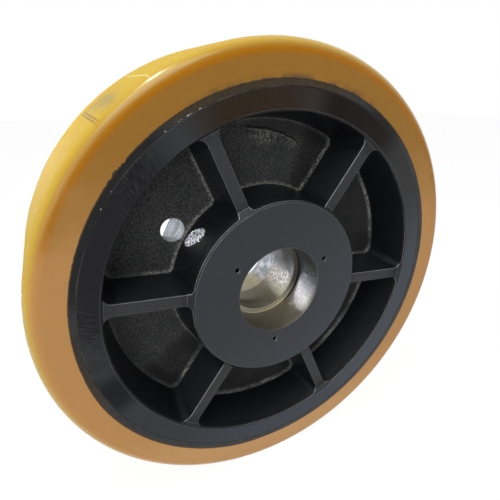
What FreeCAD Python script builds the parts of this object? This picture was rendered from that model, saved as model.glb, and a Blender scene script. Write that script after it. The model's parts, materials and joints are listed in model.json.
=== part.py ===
"""Industrial load wheel: a ribbed cast-iron centre, a pressed-on steel band and a polyurethane tyre.

Millimetres. The origin is the centre of the wheel, the wheel turns about Y and its front faces -Y.
"""

import FreeCAD, Part
import math
import os

# Tyre and the steel band it is bonded to
TYRE_THICKNESS = 35.5
TYRE_SHOULDER_RADIUS = 14.0
BAND_THICKNESS = 5.5
BAND_EDGE_CHAMFER = 0.7

# Rim of the casting
RIM_DIAMETER = 418.0
RIM_WIDTH = 125.0
RIM_FACE_WIDTH = 21.0
RIM_DRAFT_DEG = 10.0
RIM_EDGE_CHAMFER = 1.2

# Web and ribs of the casting
WEB_THICKNESS = 16.0
RIB_COUNT = 6
RIB_THICKNESS = 12.6
RIB_DRAFT_DEG = 5.0
RIB_TOP_BELOW_RIM = 3.6
RIB_START_DEG = 53.9
RIB_CORNER_AT_RIM = 5.0
RIB_CORNER_AT_HUB = 2.0
FLOOR_FILLET = 4.0

# Hub and its bearing seats
HUB_DIAMETER = 203.0
HUB_STAND_OUT = 2.2
HUB_DRAFT_DEG = 6.5
HUB_EDGE_CHAMFER = 1.5
SEAT_DIAMETER = 100.0
SEAT_DEPTH = 41.0
SEAT_MOUTH_CHAMFER = 0.5
MID_BORE_DIAMETER = 88.0

# Drilled holes, turned together against the cast ribs
DRILLING_START_DEG = 145.8
COVER_HOLE_COUNT = 3
COVER_HOLE_CIRCLE = 126.0
COVER_HOLE_DRILL = 5.0
COVER_HOLE_COUNTERSINK = 7.0
COVER_HOLE_DEPTH = 18.0
DRILL_POINT_DEG = 118.0
WEB_HOLE_DIAMETER = 26.0
WEB_HOLE_FROM_HUB = 1.5

# How far a cutting shape runs past the face it cuts
CUT_PAST = 8.0

# Sizes that follow from the ones above
RIM_HALF = RIM_WIDTH / 2
HUB_HALF = RIM_HALF + HUB_STAND_OUT
WEB_HALF = WEB_THICKNESS / 2
RIB_TOP = RIM_HALF - RIB_TOP_BELOW_RIM
RIM_RADIUS = RIM_DIAMETER / 2
BOND_RADIUS = RIM_RADIUS + BAND_THICKNESS
TYRE_RADIUS = BOND_RADIUS + TYRE_THICKNESS
RIM_SLOPE = math.tan(math.radians(RIM_DRAFT_DEG))
HUB_SLOPE = math.tan(math.radians(HUB_DRAFT_DEG))
RIB_SLOPE = math.tan(math.radians(RIB_DRAFT_DEG))
RIB_PITCH_DEG = 360.0 / RIB_COUNT
COVER_HOLE_PITCH_DEG = 360.0 / COVER_HOLE_COUNT
HALF_CORNER = math.sqrt(0.5)

ORIGIN = FreeCAD.Vector(0, 0, 0)
AXLE = FreeCAD.Vector(0, 1, 0)
OUTWARD = FreeCAD.Vector(1, 0, 0)


def rim_wall_radius(distance):
    """Radius of the drafted inner wall of the rim at a distance from the mid-plane."""
    return RIM_RADIUS - RIM_FACE_WIDTH - (RIM_HALF - distance) * RIM_SLOPE


def hub_wall_radius(distance):
    """Radius of the drafted outer wall of the hub at a distance from the mid-plane."""
    return HUB_DIAMETER / 2 + (HUB_HALF - distance) * HUB_SLOPE


def rib_half_thickness(distance):
    """Half the thickness of a drafted rib at a distance from the mid-plane."""
    return RIB_THICKNESS / 2 + (RIB_TOP - distance) * RIB_SLOPE


def turned(points):
    """Solid of revolution about the axle from a closed outline of (radius, along the axle) points."""
    corners = [FreeCAD.Vector(radius, along, 0) for radius, along in points]
    face = Part.Face(Part.makePolygon(corners + corners[:1]))
    return face.revolve(ORIGIN, AXLE, 360)


def around_axle(shape, angle_deg):
    """Copy of a shape that lies on +X, turned from +X towards +Z about the axle."""
    copy = shape.copy()
    copy.rotate(ORIGIN, AXLE, -angle_deg)
    return copy


def to_rear(shape):
    """Copy of a front shape that lies on +X, turned over to the rear of the wheel."""
    copy = shape.copy()
    copy.rotate(ORIGIN, OUTWARD, 180)
    return copy


def make_tyre():
    """Polyurethane tyre with flat sides flush with the rim and rounded shoulders."""
    flat_half = RIM_HALF - TYRE_SHOULDER_RADIUS
    side_radius = TYRE_RADIUS - TYRE_SHOULDER_RADIUS
    middle = TYRE_SHOULDER_RADIUS * HALF_CORNER
    inner_front = FreeCAD.Vector(BOND_RADIUS, -RIM_HALF, 0)
    side_front = FreeCAD.Vector(side_radius, -RIM_HALF, 0)
    round_front = FreeCAD.Vector(side_radius + middle, -flat_half - middle, 0)
    tread_front = FreeCAD.Vector(TYRE_RADIUS, -flat_half, 0)
    tread_rear = FreeCAD.Vector(TYRE_RADIUS, flat_half, 0)
    round_rear = FreeCAD.Vector(side_radius + middle, flat_half + middle, 0)
    side_rear = FreeCAD.Vector(side_radius, RIM_HALF, 0)
    inner_rear = FreeCAD.Vector(BOND_RADIUS, RIM_HALF, 0)
    edges = [
        Part.LineSegment(inner_front, side_front).toShape(),
        Part.Arc(side_front, round_front, tread_front).toShape(),
        Part.LineSegment(tread_front, tread_rear).toShape(),
        Part.Arc(tread_rear, round_rear, side_rear).toShape(),
        Part.LineSegment(side_rear, inner_rear).toShape(),
        Part.LineSegment(inner_rear, inner_front).toShape(),
    ]
    return Part.Face(Part.Wire(edges)).revolve(ORIGIN, AXLE, 360)


def make_band():
    """Steel band under the tyre, pressed on the rim, with its inner edges broken."""
    chamfer = BAND_EDGE_CHAMFER
    return turned([
        (RIM_RADIUS, -RIM_HALF + chamfer),
        (RIM_RADIUS + chamfer, -RIM_HALF),
        (BOND_RADIUS, -RIM_HALF),
        (BOND_RADIUS, RIM_HALF),
        (RIM_RADIUS + chamfer, RIM_HALF),
        (RIM_RADIUS, RIM_HALF - chamfer),
    ])


def make_blank():
    """The casting before its bays: stepped bore, hub and rim faces, and a groove at rib height between them.

    The groove's sides rise at 45 degrees, which breaks the hub and rim edges and blends the rib ends into them.
    """
    seat = SEAT_DIAMETER / 2
    shoulder = HUB_HALF - SEAT_DEPTH
    hub_corner = HUB_DIAMETER / 2 - HUB_EDGE_CHAMFER
    rim_corner = RIM_RADIUS - RIM_FACE_WIDTH + RIM_EDGE_CHAMFER
    rear_half = [
        (MID_BORE_DIAMETER / 2, shoulder),
        (seat, shoulder),
        (seat, HUB_HALF - SEAT_MOUTH_CHAMFER),
        (seat + SEAT_MOUTH_CHAMFER, HUB_HALF),
        (hub_corner, HUB_HALF),
        (hub_corner + HUB_HALF - RIB_TOP, RIB_TOP),
        (rim_corner - RIM_HALF + RIB_TOP, RIB_TOP),
        (rim_corner, RIM_HALF),
        (RIM_RADIUS - BAND_EDGE_CHAMFER, RIM_HALF),
        (RIM_RADIUS, RIM_HALF - BAND_EDGE_CHAMFER),
    ]
    front_half = [(radius, -along) for radius, along in reversed(rear_half)]
    return turned(rear_half + front_half)


def bay_corner(rib_side, wall, fillet, outward, place):
    """Fillet between the side of a rib and a round wall: its ends on the rib and on the wall, and its middle."""
    to_centre = wall + outward * fillet
    centre = FreeCAD.Vector(math.sqrt(to_centre ** 2 - (rib_side + fillet) ** 2), 0, rib_side + fillet)
    on_rib = FreeCAD.Vector(centre.x, 0, rib_side)
    on_wall = centre * (wall / to_centre)
    middle = centre + ((on_rib - centre) + (on_wall - centre)).normalize() * fillet
    return place.multVec(on_rib), place.multVec(middle), place.multVec(on_wall)


def bay_outline(distance, inset):
    """Outline of the front bay on +X at a distance from the mid-plane, drawn in by an inset."""
    rib_side = rib_half_thickness(distance) + inset
    hub = hub_wall_radius(distance) + inset
    rim = rim_wall_radius(distance) - inset
    to_rib = FreeCAD.Rotation(AXLE, RIB_PITCH_DEG / 2)
    place = FreeCAD.Placement(FreeCAD.Vector(0, -distance, 0), to_rib)
    low_hub = bay_corner(rib_side, hub, RIB_CORNER_AT_HUB + FLOOR_FILLET - inset, 1, place)
    low_rim = bay_corner(rib_side, rim, RIB_CORNER_AT_RIM + FLOOR_FILLET - inset, -1, place)
    high_hub = [FreeCAD.Vector(point.x, point.y, -point.z) for point in low_hub]
    high_rim = [FreeCAD.Vector(point.x, point.y, -point.z) for point in low_rim]
    edges = [
        Part.LineSegment(low_hub[0], low_rim[0]).toShape(),
        Part.Arc(low_rim[0], low_rim[1], low_rim[2]).toShape(),
        Part.Arc(low_rim[2], FreeCAD.Vector(rim, -distance, 0), high_rim[2]).toShape(),
        Part.Arc(high_rim[2], high_rim[1], high_rim[0]).toShape(),
        Part.LineSegment(high_rim[0], high_hub[0]).toShape(),
        Part.Arc(high_hub[0], high_hub[1], high_hub[2]).toShape(),
        Part.Arc(high_hub[2], FreeCAD.Vector(hub, -distance, 0), low_hub[2]).toShape(),
        Part.Arc(low_hub[2], low_hub[1], low_hub[0]).toShape(),
    ]
    return Part.Wire(edges)


def make_bay():
    """The hollow of the front bay on +X, with drafted walls and a rounded floor."""
    half_round = FLOOR_FILLET * (1 - HALF_CORNER)
    sections = [
        bay_outline(WEB_HALF, FLOOR_FILLET),
        bay_outline(WEB_HALF + half_round, half_round),
        bay_outline(WEB_HALF + FLOOR_FILLET, 0),
        bay_outline(RIB_TOP - FLOOR_FILLET, 0),
        bay_outline(HUB_HALF + CUT_PAST, 0),
    ]
    return Part.makeLoft(sections, True, True)


def make_cover_hole():
    """Countersunk tapping hole in the front hub face, on +X at the screw circle."""
    drill = COVER_HOLE_DRILL / 2
    sink = COVER_HOLE_COUNTERSINK / 2
    bottom = COVER_HOLE_DEPTH - HUB_HALF
    point = drill / math.tan(math.radians(DRILL_POINT_DEG / 2))
    hole = turned([
        (0, bottom + point),
        (drill, bottom),
        (drill, sink - drill - HUB_HALF),
        (sink + CUT_PAST, -HUB_HALF - CUT_PAST),
        (0, -HUB_HALF - CUT_PAST),
    ])
    hole.translate(FreeCAD.Vector(COVER_HOLE_CIRCLE / 2, 0, 0))
    return hole


def make_web_hole():
    """Drilled hole through the web close beside the hub, on +X."""
    radius = WEB_HOLE_DIAMETER / 2
    centre = hub_wall_radius(WEB_HALF) + WEB_HOLE_FROM_HUB + radius
    start = FreeCAD.Vector(centre, -WEB_HALF - CUT_PAST, 0)
    return Part.makeCylinder(radius, WEB_THICKNESS + 2 * CUT_PAST, start, AXLE)


def make_centre():
    """The cast wheel centre: the turned blank with its bays hollowed and its holes drilled."""
    bay = make_bay()
    cover_hole = make_cover_hole()
    cuts = [around_axle(make_web_hole(), DRILLING_START_DEG)]
    for step in range(RIB_COUNT):
        angle = RIB_START_DEG + (step + 0.5) * RIB_PITCH_DEG
        cuts += [around_axle(bay, angle), around_axle(to_rear(bay), angle)]
    for step in range(COVER_HOLE_COUNT):
        angle = DRILLING_START_DEG + step * COVER_HOLE_PITCH_DEG
        rear_angle = angle + COVER_HOLE_PITCH_DEG / 2
        cuts += [around_axle(cover_hole, angle), around_axle(to_rear(cover_hole), rear_angle)]
    casting = make_blank()
    for cut in cuts:
        casting = casting.cut(cut)
    return casting


def solid_of(shape):
    """The single solid in the result of an operation."""
    solids = shape.Solids
    if len(solids) != 1 or not solids[0].isValid():
        raise ValueError("expected one valid solid, found %d" % len(solids))
    return solids[0]


os.makedirs("parts", exist_ok=True)
solid_of(make_centre()).exportStep("parts/cast_wheel_centre.step")
solid_of(make_band()).exportStep("parts/steel_tyre_band.step")
solid_of(make_tyre()).exportStep("parts/polyurethane_tyre.step")
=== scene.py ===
"""Looks of the industrial load wheel: black painted casting, bare bore and amber polyurethane tyre.

Metres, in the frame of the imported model. The axle is Y and the front of the wheel faces -Y.
Angles are degrees about the axle: 0 on +X, 90 on +Z, from -90 to 270.
"""

import bpy
import json
import math
from collections import namedtuple
from types import SimpleNamespace
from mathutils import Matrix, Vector, noise


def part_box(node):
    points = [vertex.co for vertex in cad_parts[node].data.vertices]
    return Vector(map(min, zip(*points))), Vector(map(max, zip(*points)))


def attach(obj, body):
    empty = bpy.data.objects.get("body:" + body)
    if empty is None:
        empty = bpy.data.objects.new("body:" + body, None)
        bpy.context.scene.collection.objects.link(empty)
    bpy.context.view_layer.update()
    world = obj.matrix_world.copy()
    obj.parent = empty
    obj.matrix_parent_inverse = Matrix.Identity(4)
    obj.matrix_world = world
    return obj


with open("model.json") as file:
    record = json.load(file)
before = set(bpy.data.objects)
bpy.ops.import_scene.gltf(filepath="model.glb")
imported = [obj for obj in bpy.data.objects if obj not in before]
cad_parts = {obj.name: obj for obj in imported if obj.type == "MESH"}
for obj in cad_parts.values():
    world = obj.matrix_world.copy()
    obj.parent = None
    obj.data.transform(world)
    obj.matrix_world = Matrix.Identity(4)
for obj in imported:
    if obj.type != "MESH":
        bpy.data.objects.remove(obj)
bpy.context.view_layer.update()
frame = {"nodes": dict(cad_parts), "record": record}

# Noise: size of its features, layers of finer detail and their strength
Grain = namedtuple("Grain", "size layers rough", defaults=(3.0, 0.55))

# Mask from noise: it goes from least to most while the noise goes from low to high
Mottle = namedtuple("Mottle", "grain low high least most", defaults=(0.0, 1.0))

# Stain or painted reflection on a painted face: first and last angle, soft edge, how dull it is, and colour
StainOrReflection = namedtuple("StainOrReflection", "first last soft dulling colour")

# Place on the wheel that a material sees
Spot = namedtuple("Spot", "point x y z radius angle depth")

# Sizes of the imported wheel
mounts = {mount["name"]: mount["dims"] for mount in frame["record"]["mounts"]}
tyre_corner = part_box("polyurethane_tyre")[1]
casting_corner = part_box("cast_wheel_centre")[1]
TYRE_RADIUS = tyre_corner.z
TYRE_HALF_WIDTH = tyre_corner.y
BOND_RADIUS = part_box("steel_tyre_band")[1].z
RIM_RADIUS = casting_corner.z
HUB_HALF_WIDTH = casting_corner.y
SEAT_RADIUS = mounts["bearing_seat_front"]["r_mm"] / 1000
MID_BORE_RADIUS = mounts["axle_clearance_bore"]["r_mm"] / 1000
BORE_SHOULDER = mounts["axle_clearance_bore"]["length_mm"] / 2000

# Sizes within the casting and the tyre that the frame doesn't list
RIM_INNER_RADIUS = 0.188
HUB_RADIUS = 0.1015
WEB_HALF = 0.008
WEB_HOLE_RADIUS = 0.013
WEB_HOLE_PLACE = (-0.10128, 0.06883)
RIB_TOP = 0.0589
SHOULDER_RADIUS = 0.2365

# Edges of the zones: pairs are the start and end of a smooth change, a third number is a soft edge
HAIR = 0.0001
FRONT_EDGE = (-0.001, 0.001)
RIM_FACE_START = (RIM_INNER_RADIUS - 0.004, RIM_INNER_RADIUS - 0.003)
WEB_SKIN = (WEB_HALF + 0.0003, WEB_HALF + 0.0008)
FILLET_DEPTH = (WEB_HALF + 0.0006, WEB_HALF + 0.0034, 0.0010)
RIB_RADII = (0.112, 0.174, 0.004)
RIB_GRAIN = 0.2

# Black paint: tones of walls, ribs and turned faces, with a painted bluish reflection on the turned faces
# towards the lower right
WALL_TONES = ((0.0045, 0.0050, 0.0065), (0.0080, 0.0086, 0.0105))
RIB_PAINT = (0.0120, 0.0128, 0.0150)
TURNED_TONES = ((0.0130, 0.0150, 0.0190), (0.0210, 0.0235, 0.0280))
TURNED_BLUISH_REFLECTION = (0.022, 0.029, 0.042)
BLUISH_REFLECTION_SIDE = (0.77, 0.0, -0.64)
BLUISH_REFLECTION_REACH = (-0.02, 0.18)
PAINT_CLOUDS = Grain(0.06, 2.0)
PAINT_SHINE = 0.3
WALL_ROUGHNESS = (0.24, 0.56)
SKIN_ROUGHNESS = 0.34
TURNED_ROUGHNESS = (0.33, 0.46)

# Tints of reflections on fresh paint, dulled paint and wrinkles; the dulling also stands for painted shade
# and painted reflections in places
WHITE = (1.0, 1.0, 1.0)
DULLED = (0.30, 0.29, 0.28)
WRINKLE_TINT = (0.25, 0.25, 0.25)

# Patches on the rim's front, with pitted paint, and on the band's edge: bluish ones low on the rim are a
# painted reflection of bluish surroundings, dark dulled ones a painted reflection of dark surroundings,
# brownish ones stains
RIM_STAINS_AND_REFLECTIONS = (
    StainOrReflection(-110.0, -62.0, 10.0, 0.25, (0.0158, 0.0240, 0.0370)),
    StainOrReflection(18.0, 52.0, 14.0, 0.42, (0.0140, 0.0140, 0.0145)),
    StainOrReflection(216.0, 290.0, 10.0, 0.25, (0.0158, 0.0240, 0.0370)),
    StainOrReflection(208.0, 244.0, 12.0, 0.34, (0.0130, 0.0160, 0.0205)),
    StainOrReflection(46.0, 81.0, 7.0, 1.00, (0.0040, 0.0020, 0.0010)),
    StainOrReflection(81.0, 116.0, 9.0, 0.72, (0.0150, 0.0080, 0.0028)),
    StainOrReflection(127.0, 184.0, 8.0, 0.75, (0.0078, 0.0080, 0.0105)),
    StainOrReflection(186.0, 193.0, 4.0, 0.30, (0.0100, 0.0110, 0.0130)),
    StainOrReflection(195.0, 208.0, 4.0, 1.00, (0.0050, 0.0060, 0.0080)),
)
RIM_PITS = (0.0260, 0.0165, 0.0070)
RIM_PITS_DEG = (78.0, 112.0, 8.0)
RIM_PIT_CONTRAST = (0.48, 0.64)
BAND_STAINS_AND_REFLECTIONS = (
    StainOrReflection(46.0, 62.0, 6.0, 0.90, (0.0080, 0.0060, 0.0040)),
    StainOrReflection(70.0, 121.0, 8.0, 0.40, (0.0420, 0.0270, 0.0090)),
    StainOrReflection(124.0, 172.0, 5.0, 0.65, (0.0100, 0.0098, 0.0100)),
    StainOrReflection(178.0, 204.0, 5.0, 0.30, (0.0300, 0.0210, 0.0130)),
)

# Wrinkled paint on the rim: its places by angle and radius, and folds that are drawn out and lean
WRINKLES = (
    ((130.5, 142.5, 4.0), (0.187, 0.206, 0.003)),
    ((172.5, 184.5, 4.0), (0.192, 0.207, 0.003)),
)
WRINKLE_WANDER = Grain(0.010)
WRINKLE_WANDER_DEG = 20.0
WRINKLE_WANDER_RADIUS = -0.030
WRINKLE_FOLDS = Grain(0.0021, 2.0, 0.6)
WRINKLE_STRETCH = 0.20
WRINKLE_LEAN = 0.49
WRINKLE_HEIGHTS = (0.04, 1.0)
RIPPLE_TONE = (0.022, 0.021, 0.021)
RIPPLE_CONTRAST = (0.36, 0.48)
STROKE_CONTRAST = (0.50, 0.58)

# Joint of rim and band: filled with paint, and worn to a fine line in places
JOINT_LINE = (RIM_RADIUS - 0.0006, RIM_RADIUS + 0.0005, 0.0002)
JOINT_FILL = (0.026, 0.027, 0.029)
JOINT_WORN = (0.085, 0.082, 0.074)
WORN_JOINT_DEG = ((90.0, 122.0, 6.0), (133.0, 139.0, 6.0), (158.0, 194.0, 6.0))
WORN_JOINT_PATCHES = Mottle(Grain(0.012), 0.35, 0.60, 0.3)

# Sand-cast skin of the webs and fillets: grains, lumps, and dust with a painted highlight in the fillets,
# with smoother bays, and bays with fewer grains and dulled reflections as painted shade
SAND_GRAIN = Grain(0.0019, 4.0, 0.7)
SAND_CONTRAST = (0.42, 0.70)
SAND_BUMPS = Grain(0.0020, 6.0, 0.7)
SAND_HEIGHTS = (0.55, 1.3)
LUMPS = Grain(0.014)
LUMP_HEIGHTS = (0.4, 0.9)
SKIN_TONE = (0.012, 0.0125, 0.0140)
GRAIN_TONE = (0.095, 0.096, 0.102)
DUST_AND_HIGHLIGHT_TONE = (0.36, 0.357, 0.335)
FILLET_DUST_AND_HIGHLIGHT = Mottle(Grain(0.0021, 4.0, 0.75), 0.42, 0.60)
DUST_AND_HIGHLIGHT_PATCHES = Mottle(Grain(0.035, 2.0), 0.30, 0.55, 0.25)
SMOOTH_FILLET_RADII = (0.158, 0.170)
SMOOTH_FILLET_DEG = (58.0, 250.0, 4.0)
SMOOTH_FILLET_DUST_AND_HIGHLIGHT = 0.3
SMOOTH_BAY_DEG = (58.0, 95.0, 4.0)
SMOOTH_WEB_DEG = (56.0, 69.0, 3.0)
SMOOTH_WEB_GRAIN = 0.25
ROUGH_BAYS_DEG = (69.0, 214.0, 6.0)
BAY_SHADE_STRENGTH = 0.85
CASTING_BUMP = 0.0016

# Edges of ribs, hub and rim, lighter as worn paint and as a painted highlight, brightest where they face up
# and to the left
EDGE_ROUNDING = 0.0012
EDGE_TURN = (0.86, 0.99)
EDGE_WEAR_AND_HIGHLIGHT_TONES = ((0.15, 0.155, 0.160), (0.65, 0.66, 0.67))
EDGE_DEPTH = (RIB_TOP - 0.003, RIB_TOP - 0.002)
EDGE_RADIUS = (RIM_RADIUS - 0.006, RIM_RADIUS - 0.004)
DIM_HIGHLIGHT_EDGE_DEG = (105.0, 165.0, 6.0)
DIM_HIGHLIGHT_EDGE_SHARE = 0.3
LIT_SIDE = (-0.7, 0.0, 0.7)
LIT_TURN = (0.30, 0.55)

# Ovals of painted light on the hub's wall by the hole in the web: on the front a patch of light fallen
# through the hole, at the rear the lit wall seen through it; middle angle and y, half sizes, slant per degree
LIGHT_OVAL_FRONT = (142.5, -0.0262, 7.3, 0.0100, 0.00083)
LIGHT_OVAL_REAR = (150.0, 0.0450, 10.0, 0.0165, 0.0)
LIGHT_OVAL_EDGE = (0.90, 1.03)
LIGHT_OVAL_WALL = (HUB_RADIUS - 0.002, HUB_RADIUS + 0.006, 0.001)
LIGHT_OVAL_SPECKLE = Mottle(Grain(0.0019, 3.0, 0.7), 0.44, 0.58)
LIGHT_OVAL_FRONT_TONES = ((0.05, 0.05, 0.055), (0.62, 0.62, 0.66))
LIGHT_OVAL_REAR_TONES = ((0.030, 0.026, 0.034), (0.24, 0.21, 0.27))

# Raised crust on the web of the upper bay: a crescent with a lip along its outer edge
CRUST_DEG = (70.0, 95.0)
CRUST_INNER_RADIUS = 0.150
CRUST_WIDTH = 0.020
CRUST_TIP_SHARE = 0.15
CRUST_HEIGHT = 0.0020
CRUST_SUNK = 0.0004
CRUST_BODY_SHARE = 0.6
CRUST_LIP_AT = 0.90
CRUST_LIP_WIDTH = 0.04
CRUST_LUMP = 0.0045
CRUST_LUMP_SHARE = 1.1
CRUST_LUMP_FALLOFF = 1.0
CRUST_LUMP_STEP = 2.0
CRUST_LUMP_LAYERS = 3
CRUST_WANDER = 0.004
CRUST_WAVES = 8.0
CRUST_STEPS_ROUND = 120
CRUST_STEPS_ACROSS = 30

# Paint of the crust: a patchy painted highlight on the ridge just inside its lip and a painted shade in the
# crevice at it
CRUST_SOFT_DEG = 2.0
CRUST_Y = (-WEB_HALF - 0.006, -WEB_HALF + 0.001, 0.0005)
CRUST_RAGGED = Grain(0.006)
CRUST_RAGGED_REACH = 0.004
CRUST_PATCHES = Mottle(Grain(0.004), 0.38, 0.52, 0.25)
CRUST_RIDGE_HIGHLIGHT = (-0.0030, -0.0014, 0.0008)
CRUST_CREVICE_SHADE = (-0.0006, 0.0010, 0.0007)
RIDGE_HIGHLIGHT_TONE = (0.17, 0.165, 0.150)
CREVICE_SHADE_TONE = (0.004, 0.004, 0.004)

# Bare metal of the bore: silver seats, and a tanned land between them with bands left by the lathe
METAL_SPECKLE = Grain(0.0018, 3.0, 0.75)
METAL_CONTRAST = (0.35, 0.65)
METAL_TONES = ((0.115, 0.120, 0.135), (0.29, 0.30, 0.335))
METAL_ROUGHNESS = (0.26, 0.46)
ROUGHNESS_CONTRAST = (0.3, 0.7)
METAL_STAINS = Grain(0.011, 4.0, 0.6)
METAL_STAIN_CONTRAST = (0.58, 0.70)
METAL_STAIN_STRENGTH = 0.6
METAL_STAIN_TONE = (0.12, 0.11, 0.09)
SEAT_WALL = (SEAT_RADIUS - 0.0010, SEAT_RADIUS + 0.0010, 0.0003)
REAR_SEAT_TONES = ((0.30, 0.31, 0.325), (0.14, 0.146, 0.158))
REAR_SEAT_CONTRAST = (0.42, 0.56)
REAR_SEAT_LOW_TONE = (0.34, 0.31, 0.21)
REAR_SEAT_LOW_Z = (-0.044, -0.036)
LAND_TONE = (0.13, 0.116, 0.088)
LAND_BANDS = Grain(0.0035, 2.0)
LAND_STRENGTHS = (0.2, 0.6)
LATHE_FEED = 0.0009
RING_HEIGHT = 0.03
SPECKLE_HEIGHT = 0.3
BAND_HEIGHT = 0.15

# Marks in the bore: oil, painted patches of light with speckled glints, a painted shade in the seat's corner,
# and the shoulder with painted light below and painted shade above
OIL_TONE = (0.158, 0.134, 0.092)
OIL_Z = (-0.020, 0.022)
OIL_WANDER = 0.03
OIL_STRENGTH = 0.9
GLINT_TONE = (0.76, 0.76, 0.78)
LAND_GLINT_DEG = (-42.0, -12.0, 9.0)
LAND_GLINT_Y = (-0.016, 0.022, 0.006)
LAND_GLINT_SPECKS = Mottle(Grain(0.0022, 5.0, 0.8), 0.47, 0.68)
SEAT_GLINT_DEG = (-44.0, -18.0, 14.0)
SEAT_GLINT_Y = (-0.060, -0.030, 0.006)
SEAT_GLINT_SPECKS = Mottle(Grain(0.0012, 3.0, 0.8), 0.48, 0.70)
SEAT_GLOW_TONE = (0.46, 0.47, 0.52)
SEAT_GLOW_STRENGTH = 0.35
SEAT_CORNER_SHADE_TONE = (0.035, 0.034, 0.030)
SEAT_CORNER_SHADE_DEPTH = (BORE_SHOULDER + 0.0036, BORE_SHOULDER + 0.0056)
SEAT_CORNER_SHADE_DEG = (-52.0, 75.0, 12.0)
SHOULDER_SHADED_AND_LIT_TONES = ((0.25, 0.24, 0.215), (0.82, 0.78, 0.62))
SHOULDER_LOW_Z = (-0.038, -0.014)

# Painted edge of the band, with chips by middle angle and half width
BAND_TONES = ((0.0150, 0.0170, 0.0210), (0.0240, 0.0260, 0.0300))
BAND_CLOUDS = Grain(0.05, 2.0)
BAND_WRINKLES = Grain(0.004, 4.0, 0.7)
BAND_BUMP = 0.0006
BAND_ROUGHNESS = (0.34, 0.50)
MOTTLED_TONE = (0.006, 0.006, 0.0065)
MOTTLED_CONTRAST = (0.35, 0.65)
MOTTLED_STRENGTH = 0.5
MOTTLED_DULLING = 0.6
CHIPS_DEG = ((113.9, 0.25), (116.9, 0.60), (119.4, 0.55), (123.6, 0.15), (141.6, 0.15), (146.2, 0.15))
CHIP_SOFT_DEG = 0.12
CHIP_RADIUS = (RIM_RADIUS + 0.0006, RIM_RADIUS + 0.0011)
CHIP_CONTRAST = (0.40, 0.50)
CHIP_TONE = (0.75, 0.75, 0.73)

# Amber of the tyre: side face, paler below the top and paler still lower down, a painted orange glow at the
# shoulder, and ground tread
TYRE_CLOUDS = Grain(0.05)
SIDE_TONES = ((0.240, 0.106, 0.008), (0.295, 0.138, 0.012))
PALER_SIDE_TONE = (0.425, 0.215, 0.064)
PALER_SIDE_Z = (0.10, 0.23)
PALER_SIDE_WANDER = 0.12
LOW_SIDE_TONE = (0.485, 0.265, 0.098)
LOW_SIDE_Z = (-0.21, -0.13)
PAINTED_GLOW_TONE = (0.315, 0.120, 0.001)
GLOW_TINT = (1.0, 0.75, 0.35)
PAINTED_GLOW_RADII = (SHOULDER_RADIUS - 0.0005, SHOULDER_RADIUS + 0.0055, 0.0025)
PALER_SIDE_GLOW = 0.1
TREAD_TONES = ((0.42, 0.270, 0.018), (0.49, 0.326, 0.024))
TREAD_START = (SHOULDER_RADIUS + 0.003, TYRE_RADIUS - 0.001)
GROUND_LINES = Grain(0.005)

# Gloss of the tyre: moulded side, crest of the shoulder and ground tread
FINE_GRAIN = Grain(0.0015, 3.0, 0.6)
FINE_BUMP = 0.00012
SIDE_ROUGHNESS = (0.38, 0.52)
CREST_RADII = (SHOULDER_RADIUS + 0.0045, SHOULDER_RADIUS + 0.0125, 0.0010)
CREST_ROUGHNESS = 0.15
GROUND_RADIUS = (TYRE_RADIUS - 0.0010, TYRE_RADIUS - 0.0004)
GROUND_ROUGHNESS = 0.62
MOULDED_SHINE = 0.3
GROUND_SHINE = 0.12
GLOW_DEPTHS = (0.018, 0.007, 0.0015)
GLOW_WEIGHT = 0.35

# Marks along the tread: lines by middle angle, half width and soft edge, and a streaked smudge
TREAD_LINES_DEG = ((132.1, 0.15, 0.08), (132.75, 0.15, 0.08))
TREAD_LINE_TONE = (0.16, 0.11, 0.04)
TREAD_SEAM_DEG = (119.9, 0.10, 0.10)
TREAD_SEAM_TONE = (0.92, 0.80, 0.42)
TREAD_LINES_Y = (-0.055, 0.030, 0.006)
SMUDGE_TONE = (0.20, 0.155, 0.10)
SMUDGE_STRENGTH = 0.8
SMUDGE_DEG = (125.5, 130.5, 2.4)
SMUDGE_Y = (-0.050, 0.020, 0.012)
SMUDGE_DRIFT = Grain(0.022, 2.0)
SMUDGE_DRIFT_DEG = 9.0
SMUDGE_STREAKS = Mottle(Grain(0.006, 2.0, 0.5), 0.30, 0.70, 0.45)
STREAK_STRETCH = 0.15

# Black paint that strayed onto the tyre: its reach past the band, teeth in one place, and a brown haze
SPRAY_TONE = (0.008, 0.006, 0.005)
SPRAY_STRENGTH = 0.93
SPRAY_EDGE = Grain(0.0034, 1.5, 0.5)
SPRAY_SOFT = (-0.0003, 0.0003)
SPRAY_REACHES = (0.0011, 0.0026)
SPRAY_WANDERS = (0.0010, 0.0060)
FAR_SPRAY_DEG = (196.0, 262.0, 8.0)
TEETH_DEG = (133.8, 140.2, 0.8)
HAZE_TONE = (0.045, 0.028, 0.012)
HAZE_DEG = (62.0, 112.0, 10.0)
HAZE_REACH = (0.0, 0.0075)
HAZE_STRENGTH = 0.8
HAZE_PATCHES = Mottle(Grain(0.016, 3.0, 0.6), 0.40, 0.62)

# Surroundings: rays that see them as plain white, the pale floor and the light of the world
SEEN_DIRECTLY = ("Is Camera Ray", "Is Glossy Ray", "Is Transmission Ray")
FLOOR_SIZE = 12.0
FLOOR_TONE = (0.92, 0.92, 0.92, 1.0)
FLOOR_GLOW = 1.03
FLOOR_GLOW_SHARE = 0.92
WORLD_LIGHT = 0.35

# View of the photograph
CAMERA_PLACE = (-0.20404, -0.38491, 0.20963)
CAMERA_DOWN_DEG = 23.08
CAMERA_ASIDE_DEG = 26.04
CAMERA_LENS = 27.933
CAMERA_SENSOR = 36.0
CAMERA_SHIFT = 0.0162


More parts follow.
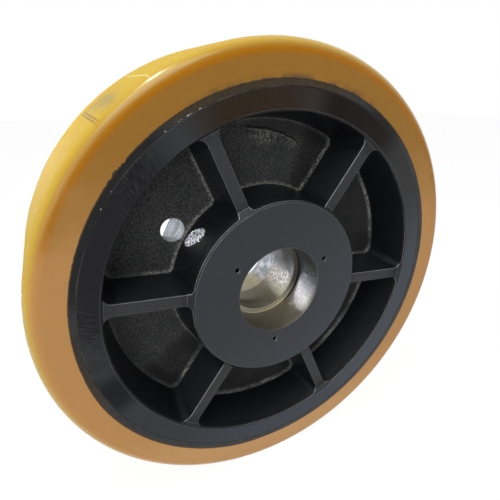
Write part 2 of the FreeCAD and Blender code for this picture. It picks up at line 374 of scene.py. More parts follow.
class Shader:
    """One material's node tree, with short calls for the nodes used here."""

    def __init__(self, name):
        self.material = bpy.data.materials.new(name)
        self.material.use_nodes = True
        self.nodes = self.material.node_tree.nodes
        self.links = self.material.node_tree.links
        self.nodes.clear()
        self.output = self.nodes.new("ShaderNodeOutputMaterial")

    def feed(self, socket, value):
        """Link a socket to another, or set it to a plain value."""
        if isinstance(value, bpy.types.NodeSocket):
            self.links.new(value, socket)
        elif isinstance(value, tuple) and socket.type == "RGBA":
            socket.default_value = (*value, 1.0)
        else:
            socket.default_value = value

    def principled(self, **sockets):
        """The surface shader; names are socket names with underscores for spaces."""
        shader = self.nodes.new("ShaderNodeBsdfPrincipled")
        for name, value in sockets.items():
            self.feed(shader.inputs[name.replace("_", " ")], value)
        self.links.new(shader.outputs[0], self.output.inputs["Surface"])

    def math(self, operation, first, second=0.0):
        """One arithmetic step."""
        node = self.nodes.new("ShaderNodeMath")
        node.operation = operation
        self.feed(node.inputs[0], first)
        self.feed(node.inputs[1], second)
        return node.outputs[0]

    def times(self, value, factor):
        """A value made stronger or weaker."""
        return self.math("MULTIPLY", value, factor)

    def minus(self, value, other):
        """The difference of two values."""
        return self.math("SUBTRACT", value, other)

    def inverse(self, mask):
        """1 where the mask is 0, and 0 where it is 1."""
        return self.minus(1.0, mask)

    def step(self, value, low, high, start=0.0, end=1.0):
        """Smooth change from start to end while the value goes from low to high."""
        node = self.nodes.new("ShaderNodeMapRange")
        node.interpolation_type = "SMOOTHSTEP"
        for socket, given in zip(node.inputs, (value, low, high, start, end)):
            self.feed(socket, given)
        return node.outputs[0]

    def drop(self, value, low, high):
        """1 up to the low value, falling to 0 at the high one."""
        return self.step(value, low, high, 1.0, 0.0)

    def fade(self, mask, start, end):
        """A number that goes from start where the mask is 0 to end where it is 1."""
        return self.step(mask, 0.0, 1.0, start, end)

    def zone(self, value, low, high, soft):
        """1 between low and high, falling to 0 over a soft edge."""
        rise = self.step(value, low - soft, low + soft)
        fall = self.drop(value, high - soft, high + soft)
        return self.times(rise, fall)

    def stripe(self, value, middle, half, soft):
        """1 near a middle value, falling to 0 over a soft edge."""
        return self.zone(value, middle - half, middle + half, soft)

    def level(self, value, height):
        """1 on a face at one height."""
        return self.stripe(value, height, 2 * HAIR, 2 * HAIR)

    def inside(self, value, limit):
        """1 up to a limit and a hair past it."""
        return self.drop(value, limit + HAIR, limit + 4 * HAIR)

    def outside(self, value, limit):
        """1 from a few hairs past a limit."""
        return self.step(value, limit + HAIR, limit + 4 * HAIR)

    def reaching(self, value, limit):
        """1 from just short of a limit."""
        return self.step(value, limit - 3 * HAIR, limit - HAIR)

    def sum(self, *values):
        """The total of several values."""
        result = values[0]
        for value in values[1:]:
            result = self.math("ADD", result, value)
        return result

    def both(self, *masks):
        """The product of several masks."""
        result = masks[0]
        for mask in masks[1:]:
            result = self.times(result, mask)
        return result

    def either(self, *masks):
        """The largest of several masks."""
        result = masks[0]
        for mask in masks[1:]:
            result = self.math("MAXIMUM", result, mask)
        return result

    def colour(self, factor, first, second):
        """Blend of two colours."""
        node = self.nodes.new("ShaderNodeMix")
        node.data_type = "RGBA"
        self.feed(node.inputs[0], factor)
        self.feed(node.inputs[6], first)
        self.feed(node.inputs[7], second)
        return node.outputs[2]

    def blend(self, factor, first, second):
        """Blend of two numbers."""
        node = self.nodes.new("ShaderNodeMix")
        self.feed(node.inputs[0], factor)
        self.feed(node.inputs[2], first)
        self.feed(node.inputs[3], second)
        return node.outputs[0]

    def noise(self, vector, grain):
        """Noise from 0 to 1."""
        node = self.nodes.new("ShaderNodeTexNoise")
        self.feed(node.inputs["Vector"], vector)
        node.inputs["Scale"].default_value = 1.0 / grain.size
        node.inputs["Detail"].default_value = grain.layers
        node.inputs["Roughness"].default_value = grain.rough
        return node.outputs[0]

    def wander(self, vector, grain):
        """Noise about zero, from -0.5 to 0.5."""
        return self.minus(self.noise(vector, grain), 0.5)

    def mottle(self, vector, pattern):
        """Mask of patches or specks."""
        return self.step(self.noise(vector, pattern.grain), *pattern[1:])

    def spot(self):
        """Place on the wheel: the point and its parts, radius, angle and distance from the mid-plane."""
        coordinates = self.nodes.new("ShaderNodeTexCoord")
        split = self.nodes.new("ShaderNodeSeparateXYZ")
        point = coordinates.outputs["Object"]
        self.links.new(point, split.inputs[0])
        x, y, z = split.outputs
        return Spot(point, x, y, z, self.distance(x, z), self.angle(x, z), self.math("ABSOLUTE", y))

    def distance(self, x, z, centre=(0.0, 0.0)):
        """Distance from a line along the axle through a place in x and z."""
        across = self.minus(x, centre[0])
        up = self.minus(z, centre[1])
        return self.math("SQRT", self.sum(self.times(across, across), self.times(up, up)))

    def angle(self, x, z):
        """Angle about the axle in degrees."""
        from_top = self.math("ARCTAN2", self.times(x, -1.0), z)
        return self.sum(self.math("DEGREES", from_top), 90.0)

    def vector(self, x=0.0, y=0.0):
        """A vector from two numbers."""
        node = self.nodes.new("ShaderNodeCombineXYZ")
        self.feed(node.inputs[0], x)
        self.feed(node.inputs[1], y)
        return node.outputs[0]

    def unrolled(self, at):
        """Coordinates round and out from the axle, in which patterns are drawn out and lean."""
        along = self.times(at.angle, math.radians(RIM_RADIUS))
        lean = self.times(at.radius, WRINKLE_LEAN)
        return self.vector(self.sum(along, lean), self.times(at.radius, WRINKLE_STRETCH))

    def rounded(self, width):
        """Normal of the surface with its sharp edges rounded over."""
        bevel = self.nodes.new("ShaderNodeBevel")
        bevel.inputs["Radius"].default_value = width
        return bevel.outputs[0]

    def facing(self, vector, direction):
        """How far a vector goes in a direction."""
        node = self.nodes.new("ShaderNodeVectorMath")
        node.operation = "DOT_PRODUCT"
        self.links.new(vector, node.inputs[0])
        self.feed(node.inputs[1], direction)
        return node.outputs["Value"]

    def edges(self, rounded):
        """1 on sharp edges, 0 on open faces."""
        geometry = self.nodes.new("ShaderNodeNewGeometry")
        return self.drop(self.facing(rounded, geometry.outputs["Normal"]), *EDGE_TURN)

    def bump(self, height, distance, normal=None):
        """Normal from a height of 0 to 1 that stands for a distance in metres."""
        node = self.nodes.new("ShaderNodeBump")
        node.inputs["Distance"].default_value = distance
        self.feed(node.inputs["Height"], height)
        if normal is not None:
            self.links.new(normal, node.inputs["Normal"])
        return node.outputs[0]


def front_of(shader, at):
    """1 on the front half of the wheel."""
    return shader.drop(at.y, *FRONT_EDGE)


def stained_and_reflecting(shader, paint, face, angle, stains):
    """Paint with stains and painted reflections by angle on a face, and a mask of how dull they leave it."""
    dull = 0.0
    for stain in stains:
        mask = shader.both(face, shader.zone(angle, stain.first, stain.last, stain.soft))
        paint = shader.colour(mask, paint, stain.colour)
        dull = shader.either(dull, shader.times(mask, stain.dulling))
    return paint, dull


def filled_joint(shader, at, paint):
    """Paint with the joint of rim and band filled level on the front, and worn to a fine line in places."""
    filled = shader.both(shader.zone(at.radius, *JOINT_LINE), front_of(shader, at))
    places = shader.either(*[shader.zone(at.angle, *span) for span in WORN_JOINT_DEG])
    worn = shader.both(filled, places, shader.mottle(at.point, WORN_JOINT_PATCHES))
    return shader.colour(worn, shader.colour(filled, paint, JOINT_FILL), JOINT_WORN)


def casting_zones(shader, at):
    """Masks of the casting: bare metal, turned faces and the rough skin left by the sand."""
    bore = shader.inside(at.radius, SEAT_RADIUS)
    hole = shader.inside(shader.distance(at.x, at.z, WEB_HOLE_PLACE), WEB_HOLE_RADIUS)
    hub_face = shader.reaching(at.depth, HUB_HALF_WIDTH)
    rim_face = shader.both(
        shader.reaching(at.depth, TYRE_HALF_WIDTH),
        shader.step(at.radius, *RIM_FACE_START),
    )
    web = shader.drop(at.depth, *WEB_SKIN)
    fillet = shader.zone(at.depth, *FILLET_DEPTH)
    rib_top = shader.level(at.depth, RIB_TOP)
    return SimpleNamespace(
        bare=shader.either(bore, hole),
        rim_face=rim_face,
        turned=shader.either(hub_face, rim_face),
        fillet=fillet,
        grainy=shader.either(web, fillet, shader.times(rib_top, RIB_GRAIN)),
    )


def wrinkled_rim(shader, at, zones):
    """Mask and height of the wrinkled paint on parts of the rim's front face."""
    wander = shader.wander(at.point, WRINKLE_WANDER)
    angle = shader.sum(at.angle, shader.times(wander, WRINKLE_WANDER_DEG))
    radius = shader.sum(at.radius, shader.times(wander, WRINKLE_WANDER_RADIUS))
    patches = [
        shader.both(shader.zone(angle, *span_deg), shader.zone(radius, *span_radius))
        for span_deg, span_radius in WRINKLES
    ]
    mask = shader.both(zones.rim_face, front_of(shader, at), shader.either(*patches))
    return mask, shader.noise(shader.unrolled(at), WRINKLE_FOLDS)


def turned_paint(shader, at, zones, clouds, grain, wrinkled, wrinkles):
    """Paint of the turned faces with a painted bluish reflection towards the lower right, stained, pitted and
    wrinkled on the rim with painted reflections among its stains, and a mask of how dull it is.
    """
    # painted reflection of bluish surroundings, stronger towards the lower right
    bluish_reflection = shader.step(shader.facing(at.point, BLUISH_REFLECTION_SIDE), *BLUISH_REFLECTION_REACH)
    paint = shader.colour(bluish_reflection, shader.colour(clouds, *TURNED_TONES), TURNED_BLUISH_REFLECTION)
    rim_front = shader.both(zones.rim_face, front_of(shader, at))
    # bluish and dark patches on the rim are painted reflections of the surroundings
    paint, dull = stained_and_reflecting(shader, paint, rim_front, at.angle, RIM_STAINS_AND_REFLECTIONS)
    pitted = shader.both(rim_front, shader.zone(at.angle, *RIM_PITS_DEG))
    paint = shader.colour(shader.both(pitted, shader.step(grain, *RIM_PIT_CONTRAST)), paint, RIM_PITS)
    ripples = shader.both(wrinkled, shader.drop(wrinkles, *RIPPLE_CONTRAST))
    return shader.colour(ripples, paint, RIPPLE_TONE), dull


def sand_skin(shader, at, zones, grain, paint):
    """Paint with light grains on the sand-cast skin and dust with a painted highlight in the fillets, and a
    mask of the bays dulled as painted shade.
    """
    smooth_fillet = shader.both(
        shader.step(at.radius, *SMOOTH_FILLET_RADII),
        shader.zone(at.angle, *SMOOTH_FILLET_DEG),
    )
    smooth_web = shader.either(
        shader.both(smooth_fillet, shader.zone(at.angle, *SMOOTH_BAY_DEG)),
        shader.zone(at.angle, *SMOOTH_WEB_DEG),
    )
    rough_bays = shader.zone(at.angle, *ROUGH_BAYS_DEG)
    # painted shade: the bays on the right and below lose grains and have dulled reflections
    quiet_shaded_bays = shader.both(front_of(shader, at), shader.fade(rough_bays, BAY_SHADE_STRENGTH, 0.0))
    grains = shader.both(
        shader.step(grain, *SAND_CONTRAST),
        zones.grainy,
        shader.fade(smooth_web, 1.0, SMOOTH_WEB_GRAIN),
        shader.inverse(quiet_shaded_bays),
    )
    # dust in the fillets, partly a painted highlight where the fillets catch the light
    dust_and_highlight = shader.both(
        zones.fillet,
        shader.mottle(at.point, FILLET_DUST_AND_HIGHLIGHT),
        shader.mottle(at.point, DUST_AND_HIGHLIGHT_PATCHES),
        shader.fade(smooth_fillet, 1.0, SMOOTH_FILLET_DUST_AND_HIGHLIGHT),
    )
    paint = shader.colour(zones.grainy, paint, SKIN_TONE)
    paint = shader.colour(grains, paint, GRAIN_TONE)
    return shader.colour(dust_and_highlight, paint, DUST_AND_HIGHLIGHT_TONE), quiet_shaded_bays


def painted_light_oval(shader, at, middle_deg, middle_y, half_deg, half_width, slant):
    """Mask of an oval of painted light on the hub's wall."""
    turned = shader.minus(at.angle, middle_deg)
    lean = shader.times(turned, -slant)
    along = shader.math("DIVIDE", turned, half_deg)
    across = shader.math("DIVIDE", shader.sum(at.y, -middle_y, lean), half_width)
    oval = shader.drop(shader.distance(along, across), *LIGHT_OVAL_EDGE)
    return shader.both(oval, shader.zone(at.radius, *LIGHT_OVAL_WALL))


def painted_light_on_hub(shader, at, paint):
    """Paint with the two speckled ovals of painted light, and a mask of the rear one."""
    speckle = shader.mottle(at.point, LIGHT_OVAL_SPECKLE)
    front = painted_light_oval(shader, at, *LIGHT_OVAL_FRONT)
    rear = painted_light_oval(shader, at, *LIGHT_OVAL_REAR)
    paint = shader.colour(front, paint, shader.colour(speckle, *LIGHT_OVAL_FRONT_TONES))
    return shader.colour(rear, paint, shader.colour(speckle, *LIGHT_OVAL_REAR_TONES)), rear


def crust_highlight_and_shade(shader, at):
    """Masks of the painted highlight on the ridge along the crust's lip and of the painted shade in the
    crevice beyond it, on the front of the web.
    """
    first, last = CRUST_DEG
    share = shader.math("DIVIDE", shader.minus(at.angle, first), last - first)
    root = shader.math("SQRT", shader.math("MAXIMUM", share, 0.0))
    widening = shader.times(root, 1.0 - CRUST_TIP_SHARE)
    width = shader.times(shader.sum(CRUST_TIP_SHARE, widening), CRUST_WIDTH)
    ragged = shader.times(shader.wander(at.point, CRUST_RAGGED), CRUST_RAGGED_REACH)
    outward = shader.sum(shader.minus(at.radius, CRUST_INNER_RADIUS), ragged)
    past_lip = shader.minus(outward, width)
    place = shader.both(shader.zone(at.angle, first, last, CRUST_SOFT_DEG), shader.zone(at.y, *CRUST_Y))
    patchy = shader.mottle(at.point, CRUST_PATCHES)
    ridge_highlight = shader.both(place, patchy, shader.zone(past_lip, *CRUST_RIDGE_HIGHLIGHT))
    return ridge_highlight, shader.both(place, shader.zone(past_lip, *CRUST_CREVICE_SHADE))


def worn_and_highlit_edges(shader, at, zones, rounded, paint):
    """Paint lighter along the edges of ribs, hub and rim, as worn paint and as a painted highlight, brightest
    where they face up and to the left and weaker on the rim's upper left.
    """
    dim_highlight = shader.both(zones.rim_face, shader.zone(at.angle, *DIM_HIGHLIGHT_EDGE_DEG))
    edge = shader.both(
        shader.edges(rounded),
        shader.step(at.depth, *EDGE_DEPTH),
        shader.drop(at.radius, *EDGE_RADIUS),
        shader.fade(dim_highlight, 1.0, DIM_HIGHLIGHT_EDGE_SHARE),
    )
    # painted highlight on edges that face up and to the left
    lit = shader.step(shader.facing(rounded, LIT_SIDE), *LIT_TURN)
    return shader.colour(edge, paint, shader.colour(lit, *EDGE_WEAR_AND_HIGHLIGHT_TONES))


def bore_metal(shader, at):
    """Colour, roughness and height of the bare metal: seats, land between them and their shoulders."""
    speckle = shader.noise(at.point, METAL_SPECKLE)
    stains = shader.noise(at.point, METAL_STAINS)
    bands = shader.noise(shader.vector(at.y), LAND_BANDS)
    past_land = shader.outside(at.radius, MID_BORE_RADIUS)
    on_land = shader.inverse(past_land)
    on_seat = shader.zone(at.radius, *SEAT_WALL)
    front = front_of(shader, at)

    # Silver seats and a tanned land, then oil and stains
    metal = shader.colour(shader.step(speckle, *METAL_CONTRAST), *METAL_TONES)
    rear = shader.colour(shader.step(stains, *REAR_SEAT_CONTRAST), *REAR_SEAT_TONES)
    rear = shader.colour(shader.drop(at.z, *REAR_SEAT_LOW_Z), rear, REAR_SEAT_LOW_TONE)
    metal = shader.colour(shader.both(on_seat, shader.inverse(front)), metal, rear)
    tanned = shader.both(on_land, shader.step(bands, *METAL_CONTRAST, *LAND_STRENGTHS))
    metal = shader.colour(tanned, metal, LAND_TONE)
    oil = shader.drop(shader.sum(at.z, shader.times(stains, OIL_WANDER)), *OIL_Z)
    oily = shader.both(oil, shader.either(front, on_land))
    metal = shader.colour(shader.times(oily, OIL_STRENGTH), metal, OIL_TONE)
    stain = shader.times(shader.step(stains, *METAL_STAIN_CONTRAST), METAL_STAIN_STRENGTH)
    metal = shader.colour(stain, metal, METAL_STAIN_TONE)

    # Painted patches of light, with speckled glints, on the land and the front seat
    land_glint = shader.both(
        on_land,
        shader.zone(at.angle, *LAND_GLINT_DEG),
        shader.zone(at.y, *LAND_GLINT_Y),
        shader.mottle(at.point, LAND_GLINT_SPECKS),
    )
    seat_glow = shader.both(
        on_seat,
        front,
        shader.zone(at.angle, *SEAT_GLINT_DEG),
        shader.zone(at.y, *SEAT_GLINT_Y),
    )
    seat_glint = shader.both(seat_glow, shader.mottle(at.point, SEAT_GLINT_SPECKS))
    metal = shader.colour(shader.times(seat_glow, SEAT_GLOW_STRENGTH), metal, SEAT_GLOW_TONE)
    metal = shader.colour(shader.either(land_glint, seat_glint), metal, GLINT_TONE)

    # Painted shade in the corner of the seat, and the shoulder with painted light below and painted shade
    # above
    seat_corner_shade = shader.both(on_seat, shader.drop(at.depth, *SEAT_CORNER_SHADE_DEPTH), shader.zone(at.angle, *SEAT_CORNER_SHADE_DEG))
    metal = shader.colour(seat_corner_shade, metal, SEAT_CORNER_SHADE_TONE)
    # painted light on the shoulder's lower part and painted shade on its upper part
    shoulder = shader.both(shader.level(at.depth, BORE_SHOULDER), past_land)
    below = shader.drop(at.z, *SHOULDER_LOW_Z)
    metal = shader.colour(shoulder, metal, shader.colour(below, *SHOULDER_SHADED_AND_LIT_TONES))

    roughness = shader.step(speckle, *ROUGHNESS_CONTRAST, *METAL_ROUGHNESS)
    rings = shader.math("SINE", shader.times(at.y, 2 * math.pi / LATHE_FEED))
    height = shader.sum(
        shader.times(rings, RING_HEIGHT),
        shader.times(speckle, SPECKLE_HEIGHT),
        shader.times(bands, BAND_HEIGHT),
    )
    return metal, roughness, height


def casting_material():
    """Black paint over sand-cast and turned faces, with the bore and drilled walls bare."""
    shader = Shader("black_cast_iron")
    at = shader.spot()
    zones = casting_zones(shader, at)
    rounded = shader.rounded(EDGE_ROUNDING)
    grain = shader.noise(at.point, SAND_GRAIN)
    clouds = shader.noise(at.point, PAINT_CLOUDS)
    wrinkled, wrinkles = wrinkled_rim(shader, at, zones)
    metal, metal_rough, metal_height = bore_metal(shader, at)

    # Paint: nearly black walls, turned faces, the skin left by the sand, marks with painted light and shade,
    # and worn edges with a painted highlight
    paint = shader.colour(clouds, *WALL_TONES)
    paint = shader.colour(shader.zone(at.radius, *RIB_RADII), paint, RIB_PAINT)
    turned, stain_and_reflection_dull = turned_paint(shader, at, zones, clouds, grain, wrinkled, wrinkles)
    paint = shader.colour(zones.turned, paint, turned)
    paint, quiet_shaded_bays = sand_skin(shader, at, zones, grain, paint)
    # speckled painted light on the hub's wall in front of and behind the web's hole
    paint, light_oval_rear = painted_light_on_hub(shader, at, paint)
    ridge_highlight, crevice_shade = crust_highlight_and_shade(shader, at)
    # painted highlight on the crust's ridge and painted shade in its crevice
    paint = shader.colour(ridge_highlight, paint, RIDGE_HIGHLIGHT_TONE)
    paint = shader.colour(crevice_shade, paint, CREVICE_SHADE_TONE)
    paint = worn_and_highlit_edges(shader, at, zones, rounded, paint)
    paint = filled_joint(shader, at, paint)

    # Reflections dulled for stains and for painted light and shade, then roughness and height of the paint
    dull = shader.either(stain_and_reflection_dull, crevice_shade, light_oval_rear, shader.both(quiet_shaded_bays, zones.grainy))
    strokes = shader.both(wrinkled, shader.step(wrinkles, *STROKE_CONTRAST))
    wall_rough = shader.step(at.y, -WEB_HALF, WEB_HALF, *WALL_ROUGHNESS)
    cast_rough = shader.blend(zones.grainy, wall_rough, SKIN_ROUGHNESS)
    paint_rough = shader.blend(zones.turned, cast_rough, shader.blend(wrinkled, *TURNED_ROUGHNESS))
    cast_height = shader.sum(
        shader.both(shader.noise(at.point, SAND_BUMPS), shader.blend(zones.grainy, *SAND_HEIGHTS)),
        shader.both(shader.noise(at.point, LUMPS), shader.blend(zones.grainy, *LUMP_HEIGHTS)),
    )
    turned_height = shader.both(wrinkles, shader.blend(wrinkled, *WRINKLE_HEIGHTS))
    paint_height = shader.blend(zones.turned, cast_height, turned_height)

    shader.principled(
        Base_Color=shader.colour(zones.bare, paint, metal),
        Metallic=zones.bare,
        Roughness=shader.blend(zones.bare, paint_rough, metal_rough),
        Specular_IOR_Level=PAINT_SHINE,
        Specular_Tint=shader.colour(strokes, shader.colour(dull, WHITE, DULLED), WRINKLE_TINT),
        Normal=shader.bump(shader.blend(zones.bare, paint_height, metal_height), CASTING_BUMP, rounded),
    )
    return shader.material


def band_material():
    """Black painted edge of the steel band, chipped and worn in a fine line at the joint with the rim."""
    shader = Shader("black_band_steel")
    at = shader.spot()
    front = front_of(shader, at)
    wrinkles = shader.noise(at.point, BAND_WRINKLES)
    paint = shader.colour(shader.noise(at.point, BAND_CLOUDS), *BAND_TONES)
    # dark dulled patches on the band are a painted reflection of dark surroundings
    paint, stain_and_reflection_dull = stained_and_reflecting(shader, paint, front, at.angle, BAND_STAINS_AND_REFLECTIONS)
    mottled = shader.step(wrinkles, *MOTTLED_CONTRAST, 0.0, MOTTLED_STRENGTH)
    paint = shader.colour(mottled, paint, MOTTLED_TONE)
    paint = filled_joint(shader, at, paint)
    places = [shader.stripe(at.angle, middle, half, CHIP_SOFT_DEG) for middle, half in CHIPS_DEG]
    chips = shader.both(
        front,
        shader.drop(at.radius, *CHIP_RADIUS),
        shader.either(*places),
        shader.step(wrinkles, *CHIP_CONTRAST),
    )
    dull = shader.either(stain_and_reflection_dull, shader.times(mottled, MOTTLED_DULLING))
    shader.principled(
        Base_Color=shader.colour(chips, paint, CHIP_TONE),
        Roughness=shader.step(wrinkles, *ROUGHNESS_CONTRAST, *BAND_ROUGHNESS),
        Specular_IOR_Level=PAINT_SHINE,
        Specular_Tint=shader.colour(dull, WHITE, DULLED),
        Normal=shader.bump(wrinkles, BAND_BUMP),
    )
    return shader.material


def tyre_amber(shader, at, tread):
    """Amber of the side face, the shoulder with a painted orange glow, and the tread, and a mask of that
    painted glow.
    """
    clouds = shader.noise(at.point, TYRE_CLOUDS)
    side = shader.colour(clouds, *SIDE_TONES)
    # side paler below a wandering height near the top
    paler_side = shader.drop(shader.sum(at.z, shader.times(clouds, PALER_SIDE_WANDER)), *PALER_SIDE_Z)
    side = shader.colour(paler_side, side, PALER_SIDE_TONE)
    side = shader.colour(shader.drop(at.z, *LOW_SIDE_Z), side, LOW_SIDE_TONE)
    # painted orange glow at the shoulder, where light shines through the tyre
    painted_glow = shader.both(shader.zone(at.radius, *PAINTED_GLOW_RADII), shader.fade(paler_side, 1.0, PALER_SIDE_GLOW))
    amber = shader.colour(painted_glow, side, PAINTED_GLOW_TONE)
    lines = shader.noise(shader.vector(at.y), GROUND_LINES)
    return shader.colour(tread, amber, shader.colour(lines, *TREAD_TONES)), painted_glow


def tread_marks(shader, at, tread, amber):
    """Amber with the marks along the tread: a smudge, two dark lines and a pale seam."""
    along = shader.times(at.angle, math.radians(TYRE_RADIUS) * STREAK_STRETCH)
    drift = shader.times(shader.wander(at.point, SMUDGE_DRIFT), SMUDGE_DRIFT_DEG)
    smudge = shader.both(
        shader.zone(shader.sum(at.angle, drift), *SMUDGE_DEG),
        shader.zone(at.y, *SMUDGE_Y),
        shader.mottle(shader.vector(along, at.y), SMUDGE_STREAKS),
    )
    across = shader.zone(at.y, *TREAD_LINES_Y)
    dark_lines = shader.either(*[shader.stripe(at.angle, *line) for line in TREAD_LINES_DEG])
    seam = shader.both(across, shader.stripe(at.angle, *TREAD_SEAM_DEG))
    amber = shader.colour(shader.times(shader.both(tread, smudge), SMUDGE_STRENGTH), amber, SMUDGE_TONE)
    amber = shader.colour(shader.both(tread, across, dark_lines), amber, TREAD_LINE_TONE)
    return shader.colour(shader.both(tread, seam), amber, TREAD_SEAM_TONE)


def strayed_paint(shader, at):
    """Masks of the black spray past the band, with teeth in one place, and of the haze at the top."""
    past_band = shader.minus(at.radius, BOND_RADIUS)
    ragged = shader.wander(shader.unrolled(at), SPRAY_EDGE)
    wander = shader.blend(shader.zone(at.angle, *TEETH_DEG), *SPRAY_WANDERS)
    reach = shader.blend(shader.zone(at.angle, *FAR_SPRAY_DEG), *SPRAY_REACHES)
    edge = shader.sum(reach, shader.both(wander, ragged))
    spray = shader.drop(shader.minus(past_band, edge), *SPRAY_SOFT)
    haze = shader.both(
        shader.zone(at.angle, *HAZE_DEG),
        shader.step(past_band, *HAZE_REACH, HAZE_STRENGTH, 0.0),
        shader.mottle(at.point, HAZE_PATCHES),
    )
    return spray, haze


def tyre_material():
    """Cast amber polyurethane: paler on the tread, with a painted glow at the shoulder, sprayed near the
    band.
    """
    shader = Shader("amber_polyurethane")
    at = shader.spot()
    tread = shader.step(at.radius, *TREAD_START)
    amber, painted_glow = tyre_amber(shader, at, tread)
    amber = tread_marks(shader, at, tread, amber)
    spray, haze = strayed_paint(shader, at)
    amber = shader.colour(haze, amber, HAZE_TONE)

    # Glossy as moulded on the crest of the shoulder, matt where the tread was ground
    fine = shader.noise(at.point, FINE_GRAIN)
    side_rough = shader.step(fine, *ROUGHNESS_CONTRAST, *SIDE_ROUGHNESS)
    moulded_rough = shader.blend(shader.zone(at.radius, *CREST_RADII), side_rough, CREST_ROUGHNESS)
    ground = shader.step(at.radius, *GROUND_RADIUS)
    shader.principled(
        Base_Color=shader.colour(shader.times(spray, SPRAY_STRENGTH), amber, SPRAY_TONE),
        Roughness=shader.blend(ground, moulded_rough, GROUND_ROUGHNESS),
        Specular_IOR_Level=shader.fade(ground, MOULDED_SHINE, GROUND_SHINE),
        Specular_Tint=shader.colour(painted_glow, WHITE, GLOW_TINT),
        Subsurface_Weight=shader.fade(spray, GLOW_WEIGHT, 0.0),
        Subsurface_Radius=GLOW_DEPTHS,
        Subsurface_Scale=1.0,
        Normal=shader.bump(fine, FINE_BUMP),
    )
    return shader.material


def floor_material():
    """Pale matt floor that shows white to the camera and keeps the shadow."""
    shader = Shader("pale_floor")
    light_path = shader.nodes.new("ShaderNodeLightPath")
    matt = shader.nodes.new("ShaderNodeBsdfDiffuse")
    matt.inputs["Color"].default_value = FLOOR_TONE
    white = shader.nodes.new("ShaderNodeEmission")
    white.inputs["Strength"].default_value = FLOOR_GLOW
    seen = shader.either(*[light_path.outputs[kind] for kind in SEEN_DIRECTLY])
    mix = shader.nodes.new("ShaderNodeMixShader")
    shader.links.new(shader.times(seen, FLOOR_GLOW_SHARE), mix.inputs[0])
    shader.links.new(matt.outputs[0], mix.inputs[1])
    shader.links.new(white.outputs[0], mix.inputs[2])
    shader.links.new(mix.outputs[0], shader.output.inputs["Surface"])
    return shader.material


def add_floor():
    """Large floor under the wheel."""
    bpy.ops.mesh.primitive_plane_add(size=FLOOR_SIZE, location=(0, 0, -TYRE_RADIUS))
    floor = bpy.context.object
    floor.name = "floor"
    floor.data.materials.append(floor_material())


def add_lamp(name, place, size, power, colour=WHITE, aim=(0.0, 0.0, 0.0), spread_deg=180.0):
    """Square lamp that points at the middle of the wheel or at another place."""
    data = bpy.data.lights.new(name, "AREA")
    data.shape = "SQUARE"
    data.size = size
    data.energy = power
    data.color = colour
    data.spread = math.radians(spread_deg)
    lamp = bpy.data.objects.new(name, data)
    lamp.location = place
    lamp.rotation_euler = (Vector(aim) - Vector(place)).to_track_quat("-Z", "Y").to_euler()
    bpy.context.scene.collection.objects.link(lamp)


def add_lamps():
    """Soft studio light, a small lamp for the shoulder's glint and a narrow beam from behind."""
    add_lamp(
        "back_lamp",
        place=(-1.66, 2.50, 0.63),
        size=0.08,
        power=0.20,
        colour=(0.90, 0.95, 1.0),
        aim=(-0.05, 0.0, 0.035),
        spread_deg=8.0,
    )
    add_lamp("glint_lamp", place=(-0.70, 0.12, 2.29), size=0.20, power=16.0)
    add_lamp("top_lamp", place=(-0.7, -0.9, 2.0), size=1.6, power=37.0)
    add_lamp("front_lamp", place=(-1.6, -1.8, 0.9), size=1.6, power=16.0)


def add_world():
    """White surroundings to the camera and in reflections, dim as a light."""
    world = bpy.data.worlds.new("studio")
    world.use_nodes = True
    tree = world.node_tree
    background = tree.nodes["Background"]
    light_path = tree.nodes.new("ShaderNodeLightPath")
    seen = light_path.outputs[SEEN_DIRECTLY[0]]
    for kind in SEEN_DIRECTLY[1:]:
        either = tree.nodes.new("ShaderNodeMath")
        either.operation = "MAXIMUM"
        tree.links.new(seen, either.inputs[0])
        tree.links.new(light_path.outputs[kind], either.inputs[1])
        seen = either.outputs[0]
    strength = tree.nodes.new("ShaderNodeMapRange")
    strength.inputs["To Min"].default_value = WORLD_LIGHT
    tree.links.new(seen, strength.inputs["Value"])
    tree.links.new(strength.outputs[0], background.inputs["Strength"])
    background.inputs["Color"].default_value = (*WHITE, 1.0)
    bpy.context.scene.world = world


def add_camera():
    """Camera at the photograph's view."""
    data = bpy.data.cameras.new("camera")
    data.sensor_width = CAMERA_SENSOR
    data.lens = CAMERA_LENS
    data.shift_x = CAMERA_SHIFT
    camera = bpy.data.objects.new("camera", data)
    camera.location = CAMERA_PLACE
    camera.rotation_euler = (math.radians(90 - CAMERA_DOWN_DEG), 0, math.radians(-CAMERA_ASIDE_DEG))
    bpy.context.scene.collection.objects.link(camera)
    bpy.context.scene.camera = camera


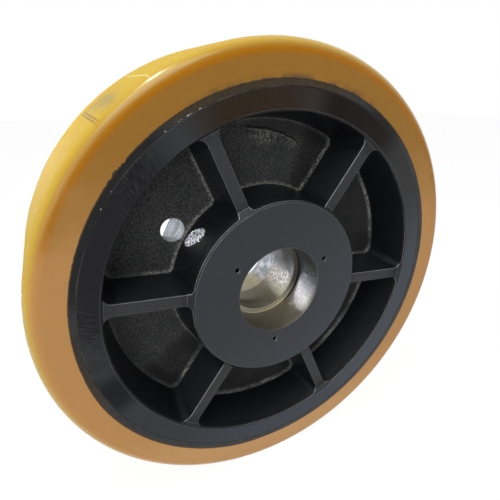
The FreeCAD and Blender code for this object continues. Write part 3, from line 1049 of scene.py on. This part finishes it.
def crust_point(along, across):
    """Point of the crust's upper face, by its shares of the way round and outwards."""
    turn = math.radians(CRUST_DEG[0] + along * (CRUST_DEG[1] - CRUST_DEG[0]))
    width = CRUST_WIDTH * (CRUST_TIP_SHARE + (1.0 - CRUST_TIP_SHARE) * math.sqrt(along))
    wander = CRUST_WANDER * noise.noise(Vector((CRUST_WAVES * along, 0.0, 0.0)))
    radius = CRUST_INNER_RADIUS + wander * (1.0 - across) + width * across
    x = radius * math.cos(turn)
    z = radius * math.sin(turn)
    place = Vector((x, 0.0, z)) / CRUST_LUMP
    lump = noise.fractal(place, CRUST_LUMP_FALLOFF, CRUST_LUMP_STEP, CRUST_LUMP_LAYERS)
    lip = math.exp(-(((across - CRUST_LIP_AT) / CRUST_LIP_WIDTH) ** 2))
    swell = math.sqrt(math.sin(math.pi * along) * math.sin(math.pi * across))
    full = CRUST_HEIGHT * (CRUST_BODY_SHARE + lip + CRUST_LUMP_SHARE * lump) + CRUST_SUNK
    return x, -WEB_HALF - (full * swell - CRUST_SUNK), z


def add_crust(material):
    """Low crescent of rough iron on the web of the upper bay, closed by one face below."""
    points = [
        crust_point(i / CRUST_STEPS_ROUND, j / CRUST_STEPS_ACROSS)
        for i in range(CRUST_STEPS_ROUND + 1)
        for j in range(CRUST_STEPS_ACROSS + 1)
    ]
    row = CRUST_STEPS_ACROSS + 1
    faces = [
        (k, k + 1, k + row + 1, k + row)
        for i in range(CRUST_STEPS_ROUND)
        for k in range(i * row, i * row + CRUST_STEPS_ACROSS)
    ]
    last = CRUST_STEPS_ROUND * row
    outline = [
        *range(row),
        *range(2 * row - 1, last, row),
        *range(last + row - 1, last - 1, -1),
        *range(last - row, 0, -row),
    ]
    faces.append(outline[::-1])
    mesh = bpy.data.meshes.new("casting_crust")
    mesh.from_pydata(points, [], faces)
    mesh.shade_smooth()
    mesh.materials.append(material)
    crust = bpy.data.objects.new("casting_crust", mesh)
    bpy.context.scene.collection.objects.link(crust)
    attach(crust, "root")


def dress(name, material):
    """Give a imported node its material."""
    for slot in frame["nodes"][name].material_slots:
        slot.material = material


bpy.context.scene.view_settings.view_transform = "Standard"
add_camera()
add_world()
add_floor()
add_lamps()
black_iron = casting_material()
dress("cast_wheel_centre", black_iron)
add_crust(black_iron)
dress("steel_tyre_band", band_material())
dress("polyurethane_tyre", tyre_material())
